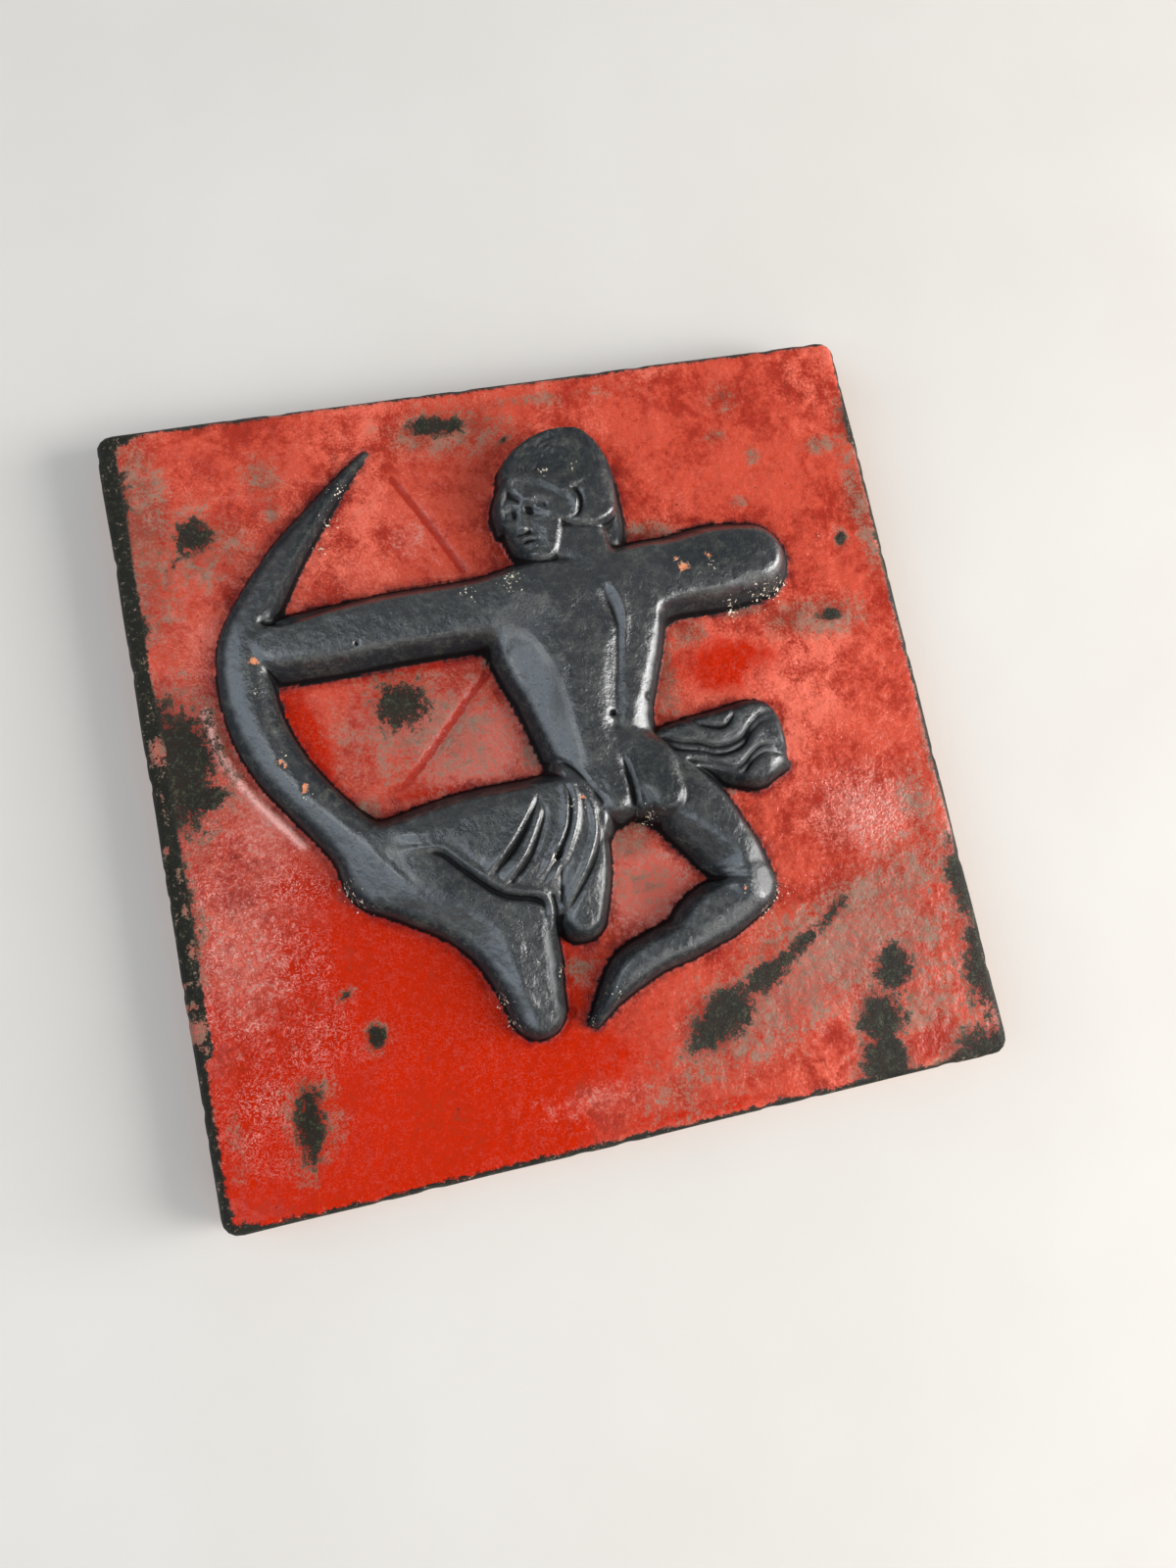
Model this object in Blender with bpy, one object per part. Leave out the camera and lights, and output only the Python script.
"""A square pressed ceramic tile with an archer in relief, made to hang flat on a wall.

The back lies in the plane Y = 0, the relief faces -Y and +Z is up. The origin is the middle of the back.
Sizes below are millimetres, and MM turns them into metres where the mesh is made.
"""

import bpy
import numpy as np

MM = 0.001

# Driving dimensions of the slab
TILE_SIDE = 150.0
SLAB_DEPTH = 12.0
CORNER_RADIUS = 3.4
RIM_ROUND = 2.2
BACK_ROUND = 0.8
GRID_STEP = 0.75
TRIANGLE_BUDGET = 9400

# Driving dimensions of the relief
GROUND_SWELL = 0.15
FOOT_FILLET = 0.9
CROWN_FALL = 0.2
LEVEL_SPREAD = 2.2
SLOPE_EASE = 0.2
CURVE_STEPS = 6

# Limbs: X, Z, half width and height above the ground, at stations from one end to the other
BOW = [(-25.3, 63.3, 0.7, 1.3), (-31, 58.2, 1.8, 2.7), (-37.3, 51.8, 2.9, 3.8), (-43.7, 44.8, 4.0, 4.7),
       (-49.6, 36.8, 4.8, 5.4), (-54, 29, 5.4, 5.8), (-54.8, 21, 5.7, 5.9), (-53.9, 13, 5.7, 5.9),
       (-51.5, 6, 5.6, 5.9), (-48.3, 0.3, 5.3, 6.0), (-44.6, -5.3, 5.3, 6.2), (-41, -10.5, 5.6, 6.4),
       (-38.2, -15, 6.0, 6.6)]
LEFT_ARM = [(-48, 26.9, 6.6, 6.4), (-38, 27.2, 7.1, 6.6), (-25, 27.8, 7.3, 6.8), (-12, 27.7, 7.4, 7.0),
            (-2, 27.8, 7.6, 7.4)]
RIGHT_ARM = [(22, 28.6, 8.2, 7.2), (30, 29.0, 8.5, 7.2), (38, 29.5, 9.1, 7.2), (45.2, 29.6, 8.4, 7.0)]
SHOULDERS = [(-2, 27.7, 7.6, 7.4), (5, 27.2, 7.8, 7.7), (16, 27.6, 7.6, 7.5), (24, 28.6, 8.0, 7.2)]
BACK_LEFT = [(3, 26, 10.6, 7.8), (2.4, 19, 12.2, 8.0), (3.2, 11, 10.6, 8.2), (3.6, 4, 9.3, 8.2),
             (4.2, -3, 8.2, 8.1)]
BACK_RIGHT = [(17.9, 27, 8.5, 7.6), (18.0, 19, 7.8, 8.1), (16.2, 11, 6.9, 8.5), (14.8, 4.6, 6.0, 8.5),
              (14.4, -2.5, 5.6, 7.4)]
HIPS = [(5.5, -6.5, 6.8, 7.8), (14.6, -6.5, 7.2, 7.4)]
SEAT = [(8.8, -12.4, 4.6, 7.3), (15, -12.6, 4.8, 7.4)]
LEFT_BUTTOCK = [(7.6, -9.0, 5.0, 8.2), (8.0, -13.0, 4.8, 8.3)]
RIGHT_BUTTOCK = [(16.6, -8.6, 6.2, 8.4), (17.4, -13.5, 5.9, 8.6)]
NECK = [(12.8, 30, 6.2, 7.2), (13.2, 36, 6.0, 6.7), (13.6, 43, 5.8, 6.3)]
JAW = [(9.0, 42.5, 4.2, 6.3), (7.6, 37.4, 4.4, 6.6)]
LEFT_THIGH = [(-36, -16.2, 7.6, 6.7), (-28, -14.2, 7.6, 7.1), (-19, -13.5, 8.2, 7.3), (-9, -14.0, 8.9, 7.5),
              (0, -14, 9.0, 7.5)]
LEFT_SHIN = [(-36.2, -18, 8.0, 6.9), (-30, -20.8, 8.6, 7.3), (-22.6, -25.8, 8.6, 7.2),
             (-16.8, -32.6, 8.3, 6.9), (-14.3, -41, 7.0, 6.4), (-13.6, -47.4, 6.0, 5.6)]
LEFT_CALF = [(-14.6, -20, 9.6, 7.4), (-13.6, -27, 8.2, 7.0), (-13.4, -32, 7.0, 6.8), (-13.6, -38, 6.5, 6.4)]
RIGHT_THIGH = [(18.6, -11, 6.8, 6.8), (22.4, -17.2, 8.0, 7.2), (25.9, -23.6, 7.4, 7.6),
               (29.0, -29, 6.6, 7.2), (30.8, -33.4, 5.9, 6.3)]
RIGHT_SHIN = [(31, -33.6, 5.9, 6.9), (24.5, -36.6, 6.3, 6.6), (20.5, -38.2, 5.9, 6.4),
              (16, -40.7, 4.8, 6.2), (10, -42.2, 4.4, 6.0), (5, -44.2, 4.4, 5.6), (0.8, -47.6, 3.0, 4.6),
              (-3.4, -52.0, 1.4, 3.2)]
FRINGE = [(-1.7, 47.8, 0.7, 0.3), (-0.9, 49.7, 0.8, 0.6), (1.6, 51.1, 0.9, 0.8), (5.0, 50.7, 0.9, 0.8),
          (7.9, 49.2, 0.8, 0.8), (10.3, 47.6, 0.7, 0.7), (12.8, 48.8, 0.7, 0.7), (15.6, 50.0, 0.7, 0.3)]
TEMPLE_LOCK = [(-1.0, 50.0, 1.4, 7.2), (-2.3, 46.4, 1.6, 6.8), (-2.3, 43.0, 1.2, 6.2)]
NAPE = [(18.6, 51, 3.6, 4.6), (18.7, 45, 3.7, 4.5), (18.6, 41, 3.6, 4.4), (18.4, 37.4, 3.0, 4.2)]
EAR = [(11.2, 46.6, 1.3, 8.2), (11.9, 44.8, 1.3, 8.2), (11.0, 43.1, 0.9, 8.0)]
WEB = [(-6.2, -22.0, 2.6, 6.8), (-6.6, -27.0, 2.2, 6.4), (-6.8, -31, 1.7, 5.4), (-6.6, -34.0, 1.3, 4.0)]
FLAP = [(0.2, -12, 5.8, 7.3), (0.0, -20, 6.2, 7.1), (-0.9, -26, 6.1, 6.9), (-2.3, -32.6, 5.2, 6.4)]

# Slopes that fall away on the right of a line: X, Z, width and drop at stations
OUTER_SLOPE = [(-26.5, 62.0, 1.4, 0.3), (-31.0, 57.0, 2.6, 1.1), (-36.6, 50.6, 3.6, 1.8),
               (-43.8, 43.2, 4.2, 2.4), (-50.0, 35.0, 4.6, 2.8), (-54.0, 27.2, 5.0, 3.1),
               (-54.8, 19.4, 5.0, 3.1), (-54.0, 11.6, 5.0, 3.1), (-51.5, 4.3, 5.0, 3.1),
               (-47.8, -2.0, 5.2, 3.1), (-43.0, -7.6, 5.8, 3.1), (-38.4, -13.2, 6.4, 3.2),
               (-33.4, -19.8, 6.6, 3.2), (-28.1, -24.0, 6.2, 3.0), (-22.3, -27.6, 5.8, 2.9),
               (-18.4, -31.8, 5.2, 2.7), (-17.0, -37, 4.6, 2.5), (-15.8, -43, 4.2, 2.3),
               (-15.0, -49, 4.0, 2.1), (-14.8, -53, 3.0, 1.4)]
INNER_SLOPE = [(-38.4, -11.5, 3.8, 0.2), (-42.4, -5.8, 4.0, 1.8), (-46.6, 0.6, 4.2, 2.4),
               (-50.0, 7.6, 4.2, 2.5), (-51.8, 15.5, 4.0, 2.4), (-52.0, 23, 4.0, 1.6),
               (-51.4, 29, 3.6, 0.8), (-48.0, 36.4, 3.2, 1.2), (-42.6, 43.4, 2.8, 1.2),
               (-36.0, 50.4, 2.2, 0.9), (-28.4, 59, 1.4, 0.3)]
BACK_SLOPE = [(-4.4, 25.4, 4.0, 0.0), (-2.8, 22.8, 4.6, 0.6), (-0.9, 19.6, 5.4, 1.6), (1.6, 13.6, 6.2, 2.0),
              (3.0, 6.6, 6.2, 2.1), (3.4, -1.0, 5.6, 2.0), (4.0, -5.4, 5.0, 1.2), (4.4, -9, 4.0, 0.0)]
SPINE_SLOPE = [(8.1, -1.0, 2.4, 0.0), (8.8, 2.4, 2.4, 1.1), (10.0, 8.4, 2.4, 1.6), (11.5, 14.2, 2.4, 1.5),
               (12.8, 18.4, 2.2, 1.1), (13.8, 22, 1.8, 0.4), (14.4, 25, 1.8, 0.0)]
FLANK_SLOPE = [(12.6, -2.0, 3.8, 0.0), (13.8, 0.6, 4.2, 1.4), (15.8, 4.6, 3.6, 1.6), (17.8, 8.5, 3.1, 1.5),
               (19.6, 12.4, 2.6, 1.3), (21.5, 16.2, 2.1, 1.0), (23.2, 20.1, 1.6, 0.6), (25.0, 24, 1.4, 0.0)]
THIGH_SLOPE = [(14.6, -9.4, 5.0, 0.0), (16.4, -13, 5.0, 1.4), (19.6, -17.6, 5.2, 4.4),
               (24.2, -22, 4.8, 5.0), (27.8, -26.0, 3.8, 3.6), (29.4, -29.0, 3.0, 1.0),
               (30.4, -31.4, 3.0, 0.0)]
HEAD_SLOPE = [(18.4, 36, 3.0, 0.6), (18.4, 42, 3.4, 2.0), (18.4, 48, 3.6, 3.0), (18.2, 54, 3.6, 3.0),
              (16.6, 59, 3.2, 2.2), (13.0, 62.6, 2.4, 0.6)]
FACE_SLOPE = [(7.6, 50.5, 5.0, 0.2), (7.0, 46.0, 6.4, 1.2), (6.2, 41.0, 6.4, 1.7), (5.4, 36.6, 5.0, 1.2),
              (5.0, 32.4, 5.0, 1.2)]
CALF_SLOPE = [(-14.8, -52, 3.0, 0.2), (-15.0, -47, 3.2, 0.6), (-16.2, -40, 3.6, 0.7),
              (-17.8, -33.4, 4.0, 0.6), (-20.4, -28.4, 4, 0.1)]
CALF_EDGE_SLOPE = [(-11.2, -53, 2.4, 0.2), (-11.0, -48, 2.8, 0.9), (-10.6, -40, 2.8, 1.0),
                   (-10.4, -35, 2.6, 0.8), (-10.2, -31, 2.4, 0.0)]
KNEE_SLOPE = [(28.6, -42, 5.0, 0.8), (30.4, -38, 5.6, 1.8), (30.8, -34, 5.6, 2.4), (30.4, -30.4, 5.2, 1.5),
              (29.4, -26.8, 4.8, 0.4), (27.6, -22.4, 4.4, 0.0)]
CLOTH_SLOPE = [(38.4, -17.6, 5.0, 2.6), (39.0, -13.4, 5.0, 3.0), (39.6, -10.0, 4.8, 2.6),
               (40.2, -7.4, 4.2, 0.4), (40.6, -5.6, 4.0, 0.0)]
SHIN_SLOPE = [(-3.0, -51.6, 1.4, 0.2), (3.6, -46.4, 3.0, 1.3), (11, -43.2, 3.8, 1.7), (19, -40.6, 4.2, 1.9),
              (27, -37.2, 4.6, 2.0), (33.0, -33.4, 4.6, 1.2), (38.6, -29.8, 4.6, 0.0)]

# Flat forms: X and Z round their outlines
HAIR_OUTLINE = [(-1.8, 50.4), (-0.9, 55.1), (2.6, 58.7), (7.6, 61.1), (12, 61.7), (16.6, 60.9),
                (19.8, 58.0), (22.0, 53.6), (22.2, 48.0), (21.0, 42.2), (17.4, 39.4), (13.2, 39.2),
                (9.4, 40.4), (4.0, 43.2), (0.0, 47.0)]
HAIR_HEIGHT = 7.7
FACE_OUTLINE = [(-2.2, 50.2), (-2.9, 46), (-2.4, 41.6), (-1.1, 37.4), (1.2, 34.7), (4.2, 34.0), (7.0, 35.2),
                (8.9, 39.2), (9.9, 43.4), (11.2, 48.4), (8, 51.2), (4, 52.2), (0, 51.8)]
FACE_HEIGHT = 7.4
CHEEK = [(9.4, 48.6, 5.4, 7.4), (9.6, 44.3, 4.0, 7.4)]
KILT_OUTLINE = [(-33, -12.0), (-28.1, -15.0), (-24.8, -15.9), (-20.9, -20.1), (-15.6, -25.0), (-9.8, -27.0),
                (-7.4, -27.4), (-2.5, -26.5), (4, -21), (6.4, -14.5), (5.4, -9.4), (1.8, -5), (-2.6, -3.4),
                (-6.6, -4.6), (-10, -7.6), (-20, -9.0), (-30, -10.4)]
KILT_RISE = 0.6
CLOTH_OUTLINE = [(17, -1.5), (22.6, 0.5), (31, 1.4), (38.2, 2.2), (42.2, 0.8), (44.1, -3), (44.5, -9.5),
                 (44.9, -12.9), (41, -14.7), (36.6, -15.8), (32, -14.4), (27, -12), (20, -9)]
CLOTH_HEIGHT = 5.4

# Cut lines: X, Z, half width and depth at stations
CUTS = {
    "spine": [(11.6, 2.6, 0.7, 0.1), (12.4, 5.4, 0.7, 0.25), (13.2, 9.4, 0.7, 0.25),
              (14.2, 14.4, 0.7, 0.25), (15.0, 18.6, 0.7, 0.3), (14.8, 22.0, 0.9, 0.8),
              (14.4, 24.4, 1.1, 0.8), (13.6, 27.4, 1.0, 0.1)],
    "waist crease": [(9.4, 1.6, 0.9, 0.1), (11.0, 0.4, 1.0, 0.3), (14.0, -0.6, 1.3, 0.4),
                     (17.6, -1.2, 1.3, 0.5), (20.2, -2.6, 1.0, 0.2)],
    "cleft": [(10.6, -5.4, 0.6, 0.2), (10.9, -7.8, 0.5, 1.1), (11.2, -11.4, 0.45, 1.5),
              (11.2, -16.6, 0.45, 1.5)],
    "knee fold": [(20.0, -29.4, 0.9, 2.0), (24.0, -30.8, 0.8, 1.8), (27.2, -31.4, 0.7, 1.0),
                  (29.4, -31.6, 0.6, 0.2)],
    "hem": [(-31, -15.8, 0.7, 0.1), (-26, -16.7, 0.55, 0.6), (-22.0, -20.8, 0.55, 0.9),
            (-16.5, -26.0, 0.55, 1.1), (-10.4, -28.2, 0.55, 1.0), (-8.9, -30.0, 0.5, 0.4)],
    "flap edge": [(-7.2, -28.2, 0.5, 0.9), (-6.9, -32, 0.5, 1.0), (-6.6, -36, 0.6, 0.9)],
    "waist cord": [(-6.4, -4.6, 0.5, 0.2), (-4.4, -3.8, 0.5, 0.7), (-1.8, -3.7, 0.5, 0.9),
                   (0.9, -5.5, 0.5, 0.9), (3.3, -9.4, 0.5, 0.8), (5.3, -13.1, 0.5, 0.4)],
    "hand crease": [(-49.6, 32.0, 0.7, 0.9), (-46.4, 30.9, 0.6, 1.1), (-41, 31.6, 0.6, 0.9),
                    (-34, 33.4, 0.6, 0.4)],
    "ear": [(11.0, 47.6, 0.4, 0.3), (12.4, 47.5, 0.4, 0.7), (13.4, 45.8, 0.4, 0.9), (12.7, 43.0, 0.4, 0.8),
            (10.8, 41.6, 0.4, 0.5)],
}
UPPER_STRING = [(-21, 57.6, 0.6, 0.1), (-18, 52, 0.9, 0.3), (-15, 46.2, 1.0, 0.4), (-10.9, 37.4, 1.1, 0.45)]
LOWER_STRING = [(-29.6, -2.2, 0.5, 0.1), (-24.5, 2.4, 1.0, 0.4), (-18, 9, 1.1, 0.6),
                (-10.2, 16.6, 1.0, 0.7)]

# Raised lines: X, Z, half width and height at stations
SHOULDER_BLADE = [(14.6, 30.0, 0.7, 0.1), (15.9, 27.4, 0.75, 0.45), (16.9, 23.7, 0.8, 0.55),
                  (16.7, 19.8, 0.7, 0.45), (15.6, 15.8, 0.6, 0.3), (14.2, 9, 0.6, 0.1)]
HEM_LINE = [(-32, -14.8, 0.9, 0.1), (-28.1, -15.2, 0.7, 0.5), (-24.8, -15.8, 0.6, 0.8),
            (-20.9, -20.0, 0.6, 0.9), (-15.6, -24.9, 0.6, 0.9), (-9.8, -26.9, 0.6, 1.0),
            (-8.0, -28.4, 0.5, 1.0), (-7.7, -32, 0.5, 0.8), (-7.5, -36.4, 0.5, 0.3)]
FOLDS = [
    [(-7.0, -8.8, 0.4, 0.2), (-8.0, -11, 0.4, 0.5), (-11.8, -16.0, 0.4, 0.9), (-14.5, -18.7, 0.4, 0.9),
     (-17.4, -21.2, 0.4, 0.4)],
    [(-6.6, -11.4, 0.4, 0.2), (-7.1, -13.8, 0.4, 0.5), (-10.3, -19.2, 0.4, 0.9), (-12.7, -21.8, 0.4, 0.9),
     (-15.0, -23.8, 0.4, 0.3)],
    [(-2.0, -7.4, 0.4, 0.2), (-1.4, -9.0, 0.4, 0.5), (-1.5, -12.0, 0.4, 0.6), (-2.5, -15.8, 0.4, 0.6),
     (-4.9, -19.7, 0.4, 0.6), (-8.8, -24.5, 0.4, 0.4)],
    [(-6.0, -6.2, 0.6, 0.2), (-3.4, -5.2, 0.6, 0.7), (-0.6, -6.6, 0.5, 0.9), (0.4, -9.6, 0.4, 1.0),
     (0.3, -13, 0.4, 1.0), (-1.0, -17, 0.4, 1.0), (-3.7, -21.6, 0.4, 0.9), (-7.6, -25.8, 0.4, 0.4)],
    [(2.4, -10.6, 0.4, 0.2), (3.2, -14.8, 0.4, 0.7), (2.7, -18.7, 0.4, 0.9), (0.3, -23.5, 0.4, 0.9),
     (-3.1, -27.9, 0.4, 0.8), (-6.4, -31.6, 0.4, 0.4)],
]
FOLD_BANKS = [3.2, 3.2, 1.6, 2.6, 2.0]
FOLD_GROOVES = [
    [(-6.4, -9.6, 0.45, 0.2), (-7.2, -11.6, 0.45, 0.6), (-10.9, -16.7, 0.45, 0.8),
     (-13.6, -19.4, 0.45, 0.8), (-16.4, -21.8, 0.45, 0.5)],
    [(-5.8, -12.0, 0.45, 0.2), (-6.3, -14.2, 0.45, 0.6), (-9.4, -19.7, 0.45, 0.8),
     (-11.8, -22.3, 0.45, 0.8), (-14.0, -24.2, 0.45, 0.4)],
    [(-0.8, -9.0, 0.4, 0.2), (-0.7, -12.4, 0.4, 0.7), (-1.8, -16.4, 0.4, 0.8), (-4.3, -20.6, 0.4, 0.7),
     (-8.0, -25.2, 0.4, 0.4)],
    [(4.1, -14.8, 0.45, 0.4), (3.6, -18.9, 0.45, 0.7), (1.1, -23.9, 0.45, 0.7), (-2.4, -28.4, 0.45, 0.6),
     (-5.8, -32.2, 0.45, 0.4)],
]

# Waves of the blown cloth: cut lines, each drawn twice
CLOTH_WAVES = [
    [(19.6, -3.0, 0.45, 0.8), (22.4, -4.4, 0.45, 1.2), (26.2, -5.4, 0.45, 1.4), (29.0, -6.6, 0.45, 1.4),
     (32.0, -6.7, 0.45, 1.4), (34.8, -5.8, 0.45, 1.4), (37.0, -3.6, 0.45, 1.2), (39.4, -2.0, 0.45, 0.9),
     (42.0, -1.6, 0.45, 0.3)],
    [(23.4, -8.2, 0.45, 0.9), (26.6, -8.9, 0.45, 1.2), (29.4, -10.4, 0.45, 1.4), (31.9, -11.4, 0.45, 1.4),
     (34, -10.8, 0.45, 1.4), (36.2, -9.0, 0.45, 1.2), (38.6, -8.0, 0.45, 1.0), (42.4, -8.6, 0.45, 0.3)],
]
WAVE_DROP = 1.3
CLOTH_TOP_FOLD = [(24.4, 0.6, 0.5, 0.8), (27.6, -1.9, 0.5, 1.0), (31.4, -3.0, 0.5, 1.0),
                  (33.6, -1.6, 0.5, 0.9), (35.4, 1.4, 0.5, 0.7)]


def smooth_curve(stations, closed=False):
    """Points close together along one smooth curve through the stations, with every column carried along."""
    given = np.array(stations, dtype=float)
    ends = (given[-1:], given[:2]) if closed else (given[:1], given[-1:])
    padded = np.vstack([ends[0], given, ends[1]])
    spans = len(padded) - 3
    t = (np.arange(CURVE_STEPS) / CURVE_STEPS)[:, None]
    pieces = []
    for i in range(spans):
        a, b, c, d = padded[i:i + 4]
        pieces.append(0.5 * (2 * b + (c - a) * t + (2 * a - 5 * b + 4 * c - d) * t ** 2
                             + (3 * b - a - 3 * c + d) * t ** 3))
    if not closed:
        pieces.append(padded[-2:-1])
    return np.vstack(pieces)


def swell(x, z):
    """A slow rise and fall of the hand-pressed ground, between -1 and 1."""
    broad = np.sin(x / 17.0 + 0.6) * np.cos(z / 21.0) + np.sin((x + z) / 29.0)
    return (broad + 0.5 * np.sin(z / 11.0 - x / 37.0)) / 2.5


def joined(a, b, radius):
    """The higher of two heights, with a fillet of about the radius where they meet."""
    near = np.clip(radius - np.abs(a - b), 0.0, None) / radius
    return np.maximum(a, b) + near * near * radius / 4


def wall(inward, run):
    """The rise of a form's side, 0 at its outline and 1 from one run inside it."""
    rise = np.sin(0.5 * np.pi * np.clip(inward / run, 0.0, 1.0))
    return np.where(inward < 0.0, 0.5 * np.pi * inward / run, rise)


class Relief:
    """Heights of the relief over the points X, Z, built up form by form."""

    def __init__(self, x, z):
        self.x = x
        self.z = z
        self.height = np.full(x.shape, -FOOT_FILLET)

    def near(self, curve, reach):
        """Which points lie within reach of a curve's box."""
        return ((self.x > curve[:, 0].min() - reach) & (self.x < curve[:, 0].max() + reach)
                & (self.z > curve[:, 1].min() - reach) & (self.z < curve[:, 1].max() + reach))

    def follow(self, curve, spot, thick=True):
        """For each point: distance to the curve's edge or middle, the two values carried there, and its side.

        The side is 1 on the right of the curve's run and -1 on its left.
        """
        x, z = self.x[spot], self.z[spot]
        best = np.full(x.shape, np.inf)
        first = np.zeros(x.shape)
        second = np.zeros(x.shape)
        side = np.zeros(x.shape)
        for start, end in zip(curve[:-1], curve[1:]):
            step = end - start
            length = max(step[0] ** 2 + step[1] ** 2, 1e-9)
            off_x, off_z = x - start[0], z - start[1]
            t = np.clip((off_x * step[0] + off_z * step[1]) / length, 0.0, 1.0)
            here = start[2] + t * step[2]
            away = np.hypot(off_x - t * step[0], off_z - t * step[1]) - (here if thick else 0.0)
            closer = away < best
            best = np.where(closer, away, best)
            first = np.where(closer, here, first)
            second = np.where(closer, start[3] + t * step[3], second)
            side = np.where(closer, np.sign(off_x * step[1] - off_z * step[0]), side)
        return best, first, second, side

    def slopes(self, lines):
        """How far the slopes on the right of the lines fall at every point."""
        fallen = np.zeros(self.x.shape)
        everywhere = np.ones(self.x.shape, dtype=bool)
        for stations in lines:
            away, width, drop, side = self.follow(smooth_curve(stations), everywhere, thick=False)
            across = side * away / width
            ramp = 0.5 * (np.hypot(across, SLOPE_EASE) - np.hypot(across - 1.0, SLOPE_EASE) + 1.0)
            fallen += (drop * ramp).reshape(self.x.shape)
        return fallen

    def limb(self, stations, blend=1.0, run=3.0, fall=CROWN_FALL, slopes=()):
        """A rounded form along stations, joined to what is there."""
        curve = smooth_curve(stations)
        spot = self.near(curve, curve[:, 2].max() + 4.0)
        away, width, level, _ = self.follow(curve, spot)
        run = np.minimum(run, width)
        across = np.clip(1.0 + away / width, 0.0, 1.0)
        form = level * wall(-away, run) * (1.0 - fall * across ** 2) - self.slopes(slopes)[spot]
        self.height[spot] = joined(self.height[spot], form, blend)

    def mass(self, limbs, blend=1.0, fall=CROWN_FALL, slopes=()):
        """One form of several limbs, each with its wall run, whose widths and heights run together."""
        nearness = np.zeros(self.x.shape)
        weights = np.zeros(self.x.shape)
        widths = np.zeros(self.x.shape)
        levels = np.zeros(self.x.shape)
        runs = np.zeros(self.x.shape)
        for stations, run in limbs:
            curve = smooth_curve(stations)
            spot = self.near(curve, curve[:, 2].max() + 6.0)
            away, width, level, _ = self.follow(curve, spot)
            nearness[spot] += np.exp(-away)
            weight = np.exp(-away / LEVEL_SPREAD)
            weights[spot] += weight
            widths[spot] += weight * width
            levels[spot] += weight * level
            runs[spot] += weight * run
        spot = weights > 0.0
        inward = np.log(nearness[spot])
        width = widths[spot] / weights[spot]
        level = levels[spot] / weights[spot]
        run = np.minimum(runs[spot] / weights[spot], width)
        across = np.clip(1.0 - inward / width, 0.0, 1.0)
        form = level * wall(inward, run) * (1.0 - fall * across ** 2) - self.slopes(slopes)[spot]
        self.height[spot] = joined(self.height[spot], form, blend)

    def inside(self, outline, spot_reach=4.0):
        """Which points lie near a smooth closed outline, and how far inside it they are."""
        curve = smooth_curve([(x, z, 0.0, 0.0) for x, z in outline], closed=True)
        curve = np.vstack([curve, curve[:1]])
        spot = self.near(curve, spot_reach)
        away, _, _, _ = self.follow(curve, spot)
        x, z = self.x[spot], self.z[spot]
        within = np.zeros(x.shape, dtype=bool)
        for start, end in zip(curve[:-1], curve[1:]):
            if start[1] != end[1]:
                crossing = start[0] + (z - start[1]) / (end[1] - start[1]) * (end[0] - start[0])
                within ^= ((start[1] > z) != (end[1] > z)) & (x < crossing)
        return spot, np.where(within, away, -away)

    def plate(self, outline, level, blend=1.0, run=3.0, slopes=()):
        """A flat form inside a smooth closed outline."""
        spot, inward = self.inside(outline)
        form = level * wall(inward, run) - self.slopes(slopes)[spot]
        self.height[spot] = joined(self.height[spot], form, blend)

    def pad(self, outline, rise, run):
        """A soft thickening of what is there inside a smooth closed outline."""
        spot, inward = self.inside(outline)
        self.height[spot] += rise * np.clip(wall(inward, run), 0.0, 1.0)

    def line(self, stations, sign, bank=1.0):
        """A raised line, or with sign -1 a cut one; bank widens the side on the right of its run."""
        curve = smooth_curve(stations)
        spot = self.near(curve, 3.0 * bank * curve[:, 2].max())
        away, width, level, side = self.follow(curve, spot)
        across = (away + width) / (width * np.where(side > 0.0, bank, 1.0))
        self.height[spot] += sign * level * np.exp(-across ** 2)

    def cut(self, stations):
        self.line(stations, -1.0)

    def raise_line(self, stations, bank=1.0):
        self.line(stations, 1.0, bank)


def bow_and_left_leg(relief):
    relief.mass([(BOW, 1.7), (LEFT_THIGH, 3.4), (LEFT_SHIN, 2.0), (LEFT_CALF, 2.2)], blend=1.0, fall=0.08,
                slopes=(OUTER_SLOPE, INNER_SLOPE, CALF_SLOPE, CALF_EDGE_SLOPE))


def right_leg(relief):
    relief.limb(RIGHT_SHIN, blend=0.8, run=2.6, fall=0.1, slopes=(SHIN_SLOPE, KNEE_SLOPE))
    relief.limb(RIGHT_THIGH, blend=2.4, run=3.0, fall=0.1, slopes=(THIGH_SLOPE, KNEE_SLOPE))
    relief.cut(CUTS["knee fold"])


def arms_and_back(relief):
    limbs = [(LEFT_ARM, 3.8), (RIGHT_ARM, 4.2), (SHOULDERS, 3.6), (NECK, 3.4), (JAW, 3.0), (BACK_LEFT, 3.0),
             (BACK_RIGHT, 2.6), (HIPS, 3.4), (LEFT_BUTTOCK, 3.0), (RIGHT_BUTTOCK, 3.4)]
    relief.limb(SEAT, blend=1.0, run=2.0, fall=0.06)
    relief.mass(limbs, blend=1.0, fall=0.18, slopes=(BACK_SLOPE, SPINE_SLOPE, FLANK_SLOPE))
    relief.cut(CUTS["hand crease"])
    relief.cut(CUTS["spine"])
    relief.cut(CUTS["waist crease"])
    relief.cut(CUTS["cleft"])
    relief.raise_line(SHOULDER_BLADE)


def kilt(relief):
    relief.limb(WEB, blend=1.0, run=1.4)
    relief.limb(FLAP, blend=0.6, run=2.4)
    relief.pad(KILT_OUTLINE, KILT_RISE, run=3.0)
    relief.cut(CUTS["hem"])
    relief.cut(CUTS["flap edge"])
    relief.raise_line(HEM_LINE)
    for fold, bank in zip(FOLDS, FOLD_BANKS):
        relief.raise_line(fold, bank)
    for groove in FOLD_GROOVES:
        relief.cut(groove)
    relief.cut(CUTS["waist cord"])


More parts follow.
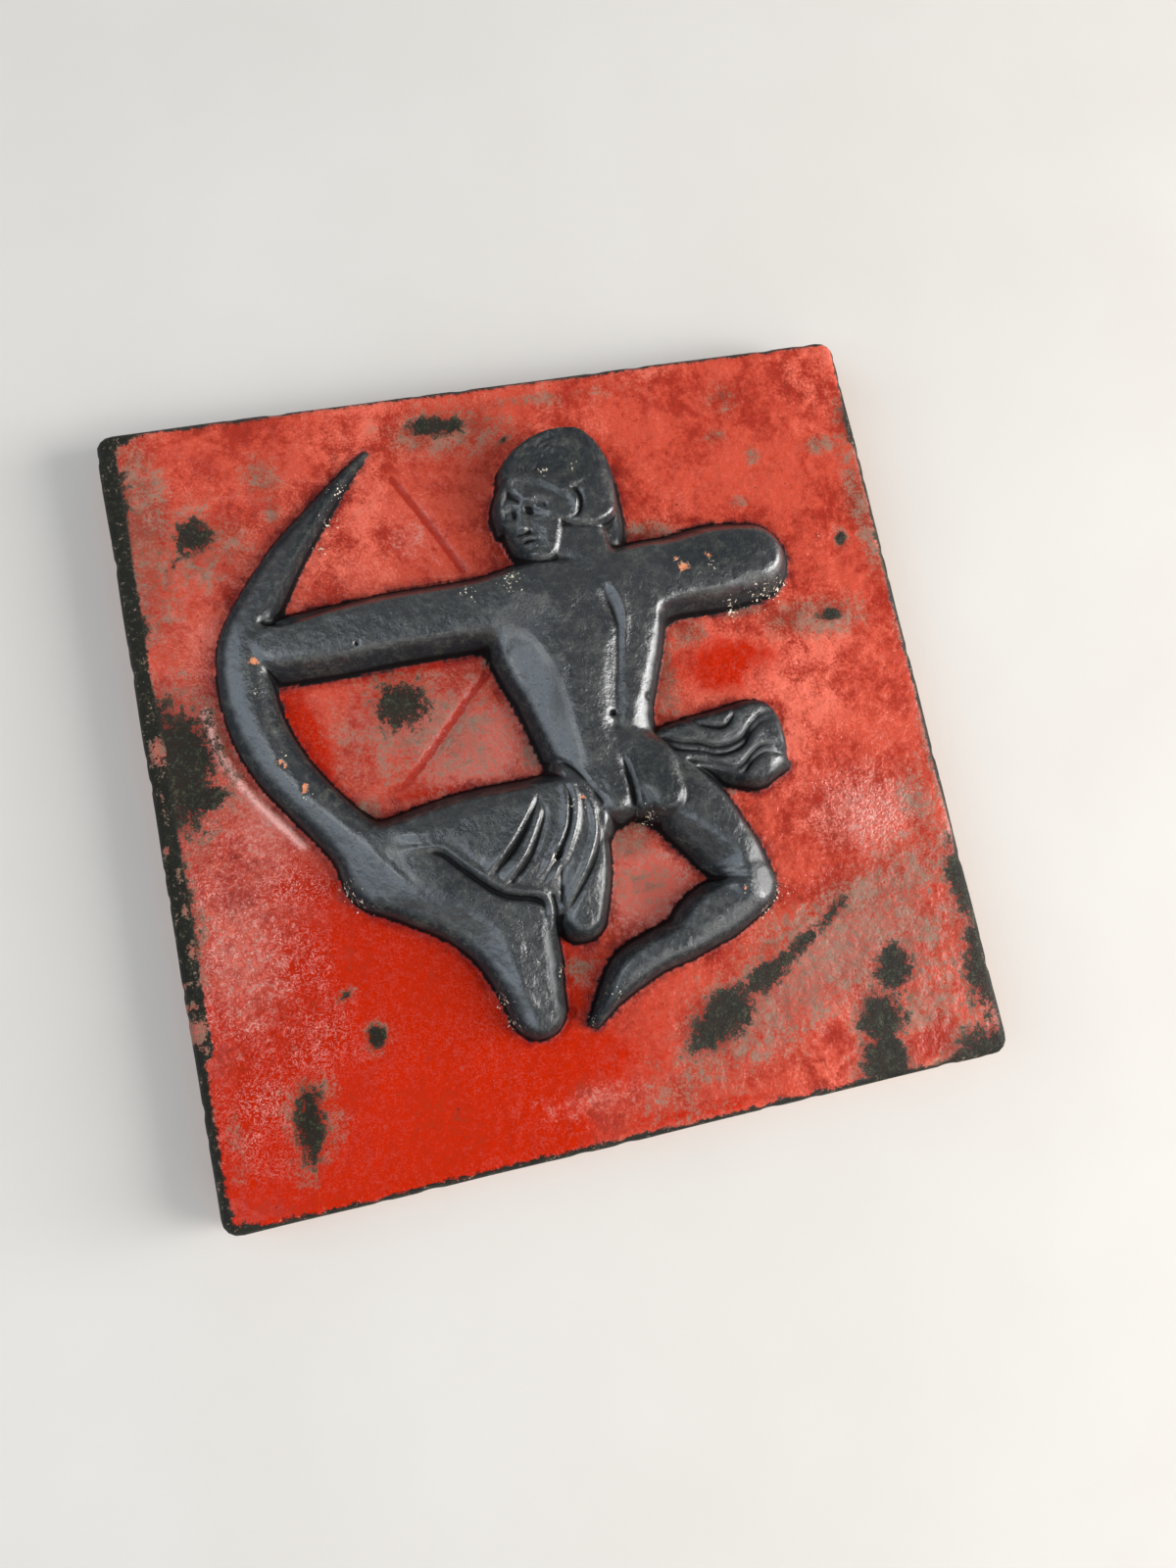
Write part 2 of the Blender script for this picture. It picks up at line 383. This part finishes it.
def blown_cloth(relief):
    relief.plate(CLOTH_OUTLINE, CLOTH_HEIGHT, run=2.2, slopes=(CLOTH_SLOPE,))
    relief.cut(CLOTH_TOP_FOLD)
    for wave in CLOTH_WAVES:
        relief.cut(wave)
        relief.cut([(x, z - WAVE_DROP, width, depth) for x, z, width, depth in wave])


def head(relief):
    relief.limb(NAPE, blend=1.8, run=2.2)
    relief.plate(HAIR_OUTLINE, HAIR_HEIGHT, blend=0.6, run=1.7, slopes=(HEAD_SLOPE,))
    relief.limb(TEMPLE_LOCK, blend=1.2, run=1.4)
    relief.limb(CHEEK, blend=0.6, run=2.0, fall=0.04)
    relief.plate(FACE_OUTLINE, FACE_HEIGHT, blend=0.4, run=1.1, slopes=(FACE_SLOPE,))
    relief.raise_line(FRINGE)
    relief.limb(EAR, blend=0.3, run=1.0)
    relief.cut(CUTS["ear"])


def tile_heights(x, z):
    """Height of the front over the plane of the ground, in millimetres."""
    relief = Relief(x, z)
    blown_cloth(relief)
    bow_and_left_leg(relief)
    right_leg(relief)
    arms_and_back(relief)
    kilt(relief)
    head(relief)
    ground = GROUND_SWELL * swell(x, z)
    heights = joined(relief.height, ground, FOOT_FILLET)
    below = Relief(x, z)
    below.height[:] = 0.0
    below.cut(UPPER_STRING)
    below.cut(LOWER_STRING)
    return heights + below.height


def rounded_square(count, half, radius):
    """A grid of points over a square whose corners are rounded, as two arrays."""
    line = np.linspace(-half, half, count)
    x, z = np.meshgrid(line, line, indexing="ij")
    inner = half - radius
    in_x = np.clip(np.abs(x) - inner, 0.0, None)
    in_z = np.clip(np.abs(z) - inner, 0.0, None)
    pull = np.maximum(in_x, in_z) / np.maximum(np.hypot(in_x, in_z), 1e-9)
    pull = np.where((in_x > 0) & (in_z > 0), pull, 1.0)
    new_x = np.where(in_x > 0, np.sign(x) * (inner + in_x * pull), x)
    new_z = np.where(in_z > 0, np.sign(z) * (inner + in_z * pull), z)
    return new_x, new_z


def border_of(index):
    """The grid's outer points in order, going round once."""
    return np.concatenate([index[:-1, 0], index[-1, :-1], index[:0:-1, -1], index[0, :0:-1]])


def tile_mesh():
    """The closed tile as points in metres and faces."""
    flat = TILE_SIDE / 2 - RIM_ROUND
    count = int(2 * flat / GRID_STEP) + 1
    x, z = rounded_square(count, flat, CORNER_RADIUS - RIM_ROUND)
    front = -(SLAB_DEPTH + tile_heights(x, z))
    points = [np.stack([x.ravel(), front.ravel(), z.ravel()], axis=1)]
    index = np.arange(count * count).reshape(count, count)
    faces = [tuple(corners) for corners in np.stack(
        [index[:-1, :-1], index[1:, :-1], index[1:, 1:], index[:-1, 1:]], axis=-1).reshape(-1, 4)]

    border = border_of(index)
    start = points[0][border]
    inner = TILE_SIDE / 2 - CORNER_RADIUS
    centre_x = np.clip(start[:, 0], -inner, inner)
    centre_z = np.clip(start[:, 2], -inner, inner)
    out = np.stack([start[:, 0] - centre_x, start[:, 2] - centre_z], axis=1)
    out /= np.hypot(out[:, 0], out[:, 1])[:, None]

    rings = []
    for turn in np.linspace(0.0, 0.5 * np.pi, 5)[1:]:
        rings.append((RIM_ROUND * np.sin(turn), start[:, 1] + RIM_ROUND * (1.0 - np.cos(turn))))
    rings.append((RIM_ROUND, np.full(len(start), -BACK_ROUND)))
    rings.append((RIM_ROUND - BACK_ROUND, np.zeros(len(start))))
    last = border
    total = count * count
    for outward, depth in rings:
        moved = out * outward
        points.append(np.stack([start[:, 0] + moved[:, 0], depth, start[:, 2] + moved[:, 1]], axis=1))
        ring = np.arange(total, total + len(border))
        total += len(border)
        for i in range(len(border)):
            j = (i + 1) % len(border)
            faces.append((last[i], ring[i], ring[j], last[j]))
        last = ring
    faces.append(tuple(last[::-1]))
    return np.vstack(points) * MM, faces


def ceramic_material():
    material = bpy.data.materials.new("red_and_black_glaze")
    material.use_nodes = True
    shader = material.node_tree.nodes["Principled BSDF"]
    shader.inputs["Base Color"].default_value = (0.42, 0.05, 0.03, 1.0)
    shader.inputs["Roughness"].default_value = 0.3
    shader.inputs["Metallic"].default_value = 0.0
    return material


def relief_tile():
    points, faces = tile_mesh()
    mesh = bpy.data.meshes.new("relief_tile")
    mesh.from_pydata(points.tolist(), [], [tuple(int(i) for i in face) for face in faces])
    mesh.update()
    mesh.materials.append(ceramic_material())
    tile = bpy.data.objects.new("relief_tile", mesh)
    bpy.context.scene.collection.objects.link(tile)
    triangles = sum(len(face) - 2 for face in faces)
    thin = tile.modifiers.new("fewer faces", "DECIMATE")
    thin.decimate_type = "COLLAPSE"
    thin.ratio = TRIANGLE_BUDGET / triangles
    return tile


def main():
    for old in list(bpy.data.objects):
        bpy.data.objects.remove(old, do_unlink=True)
    relief_tile()


main()
